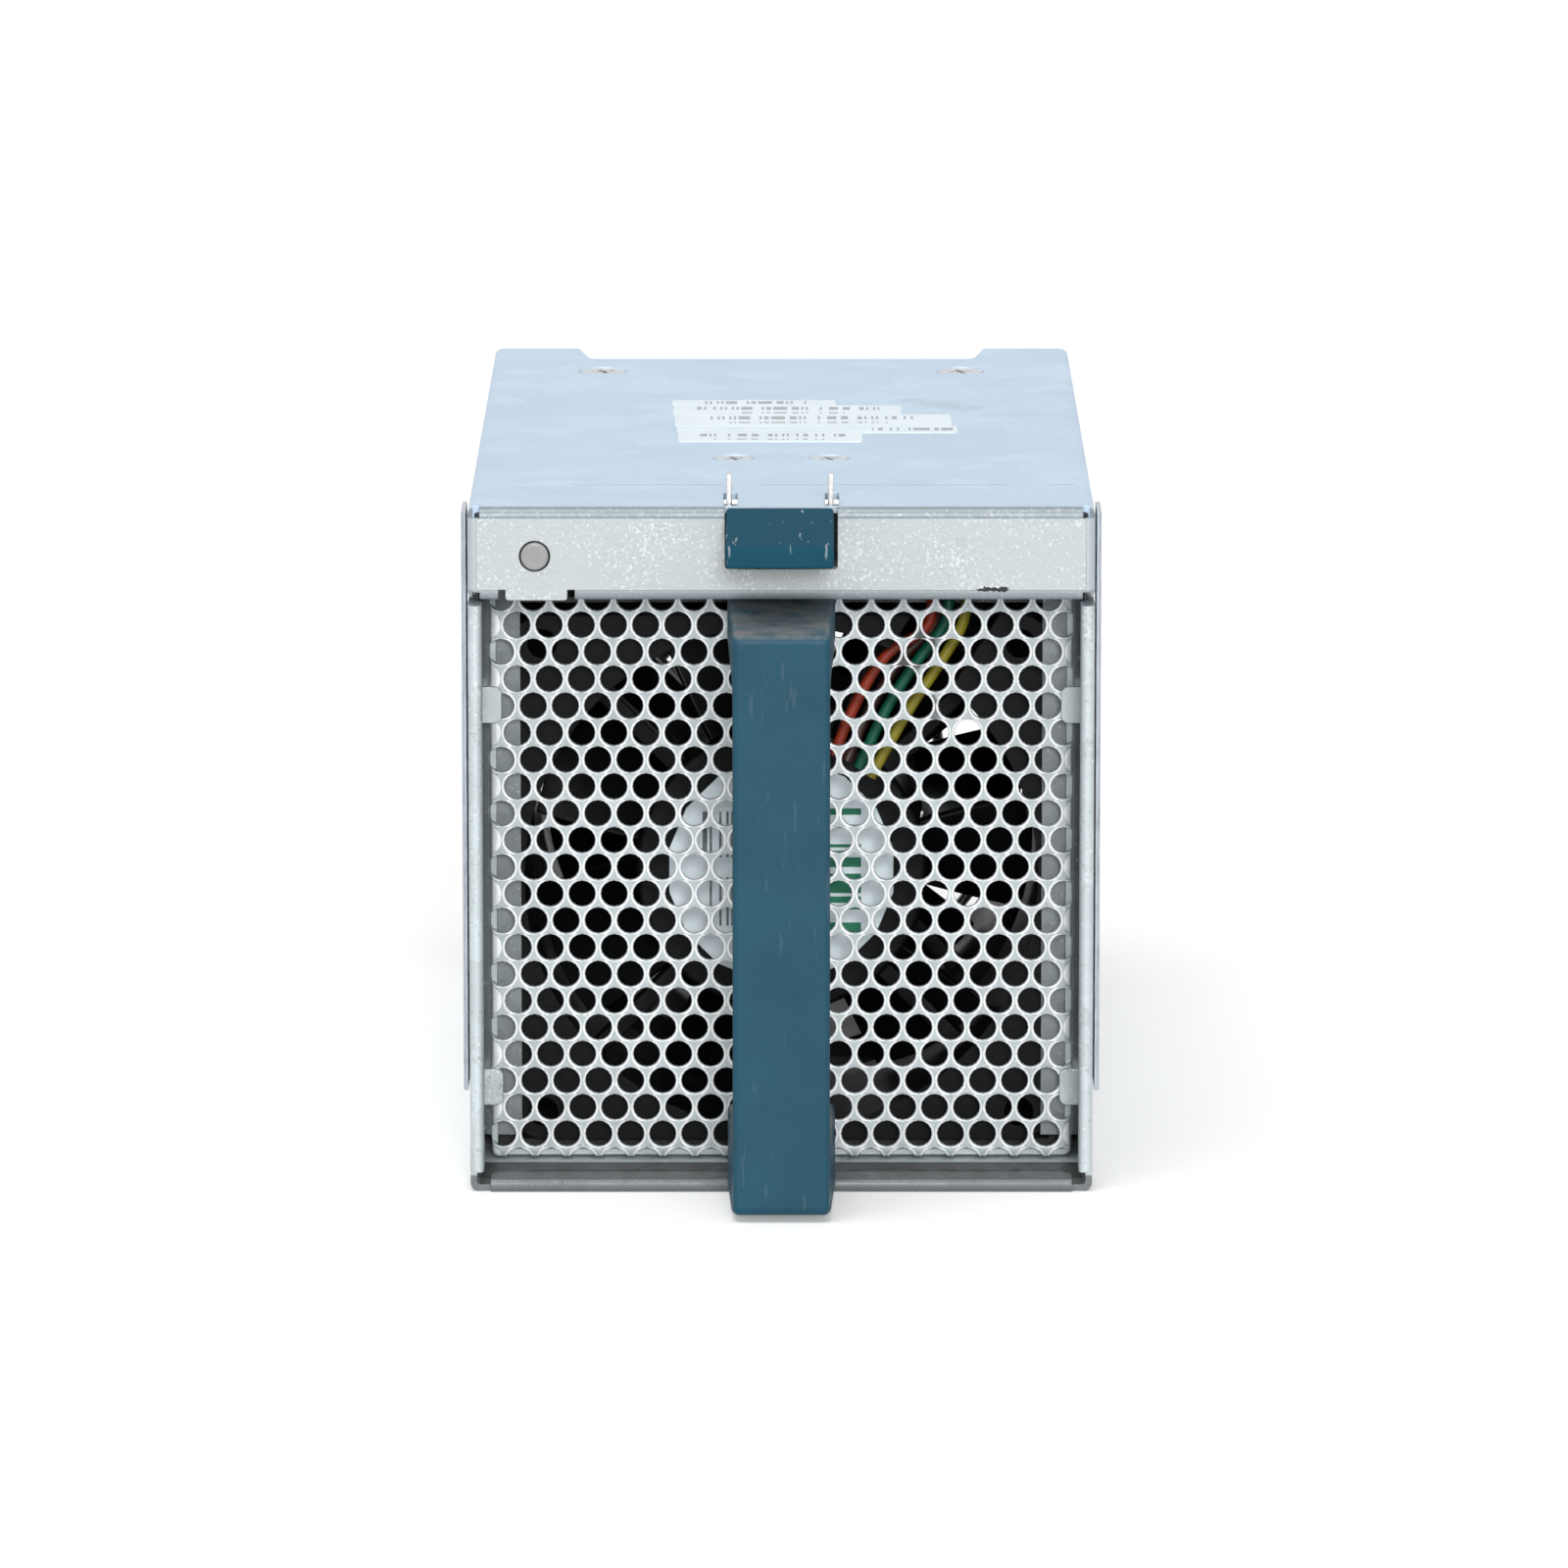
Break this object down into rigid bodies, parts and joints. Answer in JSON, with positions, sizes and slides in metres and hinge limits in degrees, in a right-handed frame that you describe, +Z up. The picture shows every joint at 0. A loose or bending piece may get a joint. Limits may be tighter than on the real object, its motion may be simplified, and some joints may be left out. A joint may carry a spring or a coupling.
{
  "type": "server fan module",
  "caption": "Hot-swap fan module: sheet steel box with a perforated front, plastic pull handle, spring latch and axial fans in series that draw air from the open back",
  "frame": {"origin": "the centre of the tray's underside: half way across, half way between the front plane and the back edge, at the bottom", "axes": "+X to the right as seen from the front, +Y from the front (handle, grille) to the open back, +Z up"},
  "size_m": [0.0944, 0.184, 0.1074],
  "materials": {
    "zinc_steel": "galvanised sheet, bluish, lightly mottled",
    "cover_steel": "galvanised sheet, pale blue grey, scuffed at the bends",
    "bright_steel": "plated or spring steel, bright",
    "blue_plastic": "moulded, satin, dusty on top",
    "black_plastic": "moulded, fine grain",
    "rubber": "soft, matt",
    "copper": "enamelled copper wire",
    "circuit_board": "solder mask",
    "lens": "frosted clear moulding",
    "ferrite": "dark, dull",
    "gold_contact": "gold-plated contacts",
    "red_lead": "extruded insulation",
    "brown_lead": "extruded insulation",
    "green_lead": "extruded insulation",
    "yellow_lead": "extruded insulation"
  },
  "bodies": {
    "housing": {"board_stand": "black_plastic", "connector_bracket": "zinc_steel", "connector_contacts": "gold_contact", "cover_screw_left": "bright_steel", "cover_screw_right": "bright_steel", "fan_bracket_front_left": "zinc_steel", "fan_bracket_front_right": "zinc_steel", "fan_bracket_rear_left": "zinc_steel", "fan_bracket_rear_right": "zinc_steel", "fan_shelf": "zinc_steel", "finger_guard": "bright_steel", "front_bearing_far": "bright_steel", "front_bearing_near": "bright_steel", "front_fan_boot": "rubber", "front_fan_frame": "black_plastic", "front_grille": "zinc_steel", "front_lead_brown": "brown_lead", "front_lead_green": "green_lead", "front_lead_red": "red_lead", "front_lead_yellow": "yellow_lead", "front_motor_board": "circuit_board", "front_stator_core": "ferrite", "front_windings": "copper", "guard_screw_1": "bright_steel", "guard_screw_2": "bright_steel", "guard_screw_3": "bright_steel", "guard_screw_4": "bright_steel", "handle": "blue_plastic", "handle_screw_lower": "bright_steel", "handle_screw_upper": "bright_steel", "housing_tray": "zinc_steel", "latch_base": "bright_steel", "latch_screw_left": "bright_steel", "latch_screw_right": "bright_steel", "rear_bearing_far": "bright_steel", "rear_bearing_near": "bright_steel", "rear_connector": "black_plastic", "rear_fan_boot": "rubber", "rear_fan_frame": "black_plastic", "rear_lead_sleeve": "rubber", "rear_motor_board": "circuit_board", "rear_stator_core": "ferrite", "rear_windings": "copper", "side_gasket_left": "bright_steel", "side_gasket_right": "bright_steel", "status_board": "circuit_board", "status_led": "lens", "status_lens": "lens", "top_cover": "cover_steel"},
    "front_rotor": {"front_impeller": "black_plastic", "front_rotor_yoke": "bright_steel", "front_rotor_magnet": "ferrite", "front_shaft": "bright_steel"},
    "rear_rotor": {"rear_impeller": "black_plastic", "rear_rotor_yoke": "bright_steel", "rear_rotor_magnet": "ferrite", "rear_shaft": "bright_steel"},
    "latch": {"latch_spring": "bright_steel", "latch_button": "blue_plastic"}
  },
  "joints": [
    {"name": "front_fan_spin", "type": "hinge", "parent": "housing", "child": "front_rotor", "pos_m": [0, -0.0393, 0.043], "axis": [0, 1, 0], "continuous": true},
    {"name": "rear_fan_spin", "type": "hinge", "parent": "housing", "child": "rear_rotor", "pos_m": [0, 0.0215, 0.043], "axis": [0, 1, 0], "continuous": true},
    {"name": "latch_press", "type": "hinge", "parent": "housing", "child": "latch", "pos_m": [0, -0.03715, 0.09998], "axis": [1, 0, 0], "range_deg": [0, 7], "stiffness_Nm_per_rad": 3}
  ]
}
